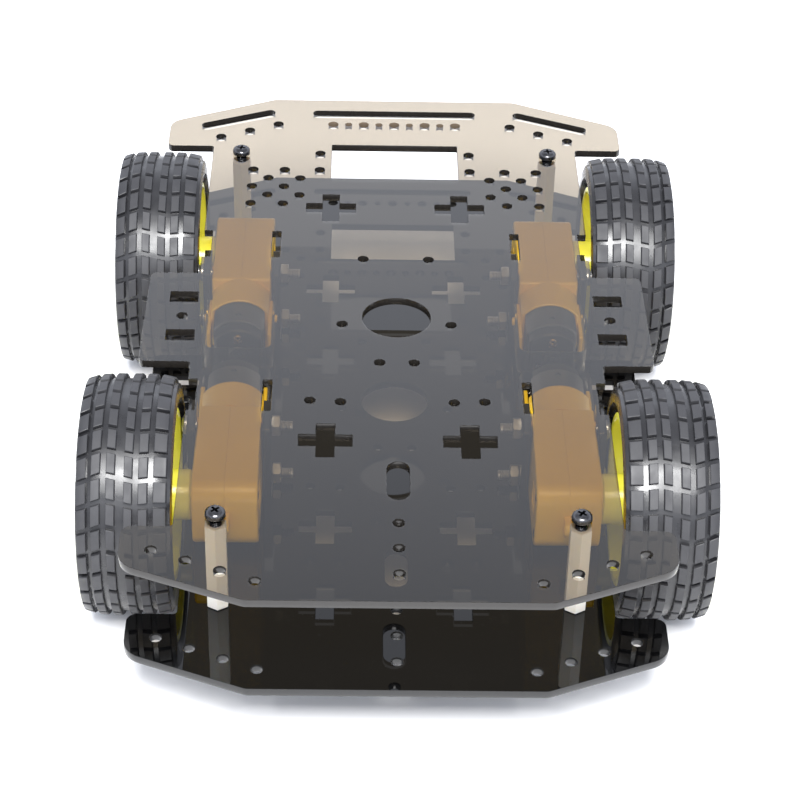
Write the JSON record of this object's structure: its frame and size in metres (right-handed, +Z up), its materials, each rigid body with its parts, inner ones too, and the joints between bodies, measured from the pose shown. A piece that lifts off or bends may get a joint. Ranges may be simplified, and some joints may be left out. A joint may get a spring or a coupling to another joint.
{
  "type": "four wheel robot chassis",
  "caption": "Double-deck wheeled robot base: drilled smoked and black acrylic plates on spacers, geared motors on T brackets between them, and treaded tyres on yellow rims.",
  "frame": {"origin": "on the floor under the middle of the chassis", "axes": "+X to the right, +Y to the front (the end with the servo window), +Z up"},
  "size_m": [0.1704, 0.2514, 0.0664],
  "materials": {
    "black_acrylic": "opaque black acrylic sheet with polished faces and laser-cut edges",
    "smoked_acrylic": "clear smoked-brown acrylic sheet with polished faces and laser-cut edges",
    "spacer_nylon": "natural milky nylon, slightly translucent",
    "black_screw": "black oxide with bright worn recess edges",
    "zinc_bolt": "bright zinc plate",
    "gearbox_yellow": "moulded yellow plastic, fine satin",
    "motor_metal": "plated steel can with drawn grain",
    "strap_clear": "clear flexible plastic",
    "white_nylon": "white moulded nylon",
    "rim_yellow": "glossy moulded yellow plastic",
    "tyre_rubber": "black rubber with moulded block tread"
  },
  "bodies": {
    "chassis": {"lower_deck": "black_acrylic", "upper_deck": "smoked_acrylic", "front_left_spacer": "spacer_nylon", "front_left_top_screw": "black_screw", "front_left_bottom_screw": "black_screw", "front_left_gearbox": "gearbox_yellow", "front_left_motor_can": "motor_metal", "front_left_motor_strap": "strap_clear", "front_left_inner_bracket": "black_acrylic", "front_left_outer_bracket": "black_acrylic", "front_left_upper_bolt": "zinc_bolt", "front_left_lower_bolt": "zinc_bolt", "front_right_spacer": "spacer_nylon", "front_right_top_screw": "black_screw", "front_right_bottom_screw": "black_screw", "front_right_gearbox": "gearbox_yellow", "front_right_motor_can": "motor_metal", "front_right_motor_strap": "strap_clear", "front_right_inner_bracket": "black_acrylic", "front_right_outer_bracket": "black_acrylic", "front_right_upper_bolt": "zinc_bolt", "front_right_lower_bolt": "zinc_bolt", "rear_left_spacer": "spacer_nylon", "rear_left_top_screw": "black_screw", "rear_left_bottom_screw": "black_screw", "rear_left_gearbox": "gearbox_yellow", "rear_left_motor_can": "motor_metal", "rear_left_motor_strap": "strap_clear", "rear_left_inner_bracket": "black_acrylic", "rear_left_outer_bracket": "black_acrylic", "rear_left_upper_bolt": "zinc_bolt", "rear_left_lower_bolt": "zinc_bolt", "rear_right_spacer": "spacer_nylon", "rear_right_top_screw": "black_screw", "rear_right_bottom_screw": "black_screw", "rear_right_gearbox": "gearbox_yellow", "rear_right_motor_can": "motor_metal", "rear_right_motor_strap": "strap_clear", "rear_right_inner_bracket": "black_acrylic", "rear_right_outer_bracket": "black_acrylic", "rear_right_upper_bolt": "zinc_bolt", "rear_right_lower_bolt": "zinc_bolt"},
    "front_left_wheel": {"front_left_rim": "rim_yellow", "front_left_tyre": "tyre_rubber", "front_left_output_shaft": "white_nylon", "front_left_output_gear": "white_nylon"},
    "front_right_wheel": {"front_right_rim": "rim_yellow", "front_right_tyre": "tyre_rubber", "front_right_output_shaft": "white_nylon", "front_right_output_gear": "white_nylon"},
    "rear_left_wheel": {"rear_left_rim": "rim_yellow", "rear_left_tyre": "tyre_rubber", "rear_left_output_shaft": "white_nylon", "rear_left_output_gear": "white_nylon"},
    "rear_right_wheel": {"rear_right_rim": "rim_yellow", "rear_right_tyre": "tyre_rubber", "rear_right_output_shaft": "white_nylon", "rear_right_output_gear": "white_nylon"}
  },
  "joints": [
    {"name": "front_left_wheel_spin", "type": "hinge", "parent": "chassis", "child": "front_left_wheel", "pos_m": [-0.07245, 0.05775, 0.0332], "axis": [1, 0, 0], "continuous": true},
    {"name": "front_right_wheel_spin", "type": "hinge", "parent": "chassis", "child": "front_right_wheel", "pos_m": [0.07245, 0.05775, 0.0332], "axis": [1, 0, 0], "continuous": true},
    {"name": "rear_left_wheel_spin", "type": "hinge", "parent": "chassis", "child": "rear_left_wheel", "pos_m": [-0.07245, -0.0607, 0.0332], "axis": [1, 0, 0], "continuous": true},
    {"name": "rear_right_wheel_spin", "type": "hinge", "parent": "chassis", "child": "rear_right_wheel", "pos_m": [0.07245, -0.0607, 0.0332], "axis": [1, 0, 0], "continuous": true}
  ]
}
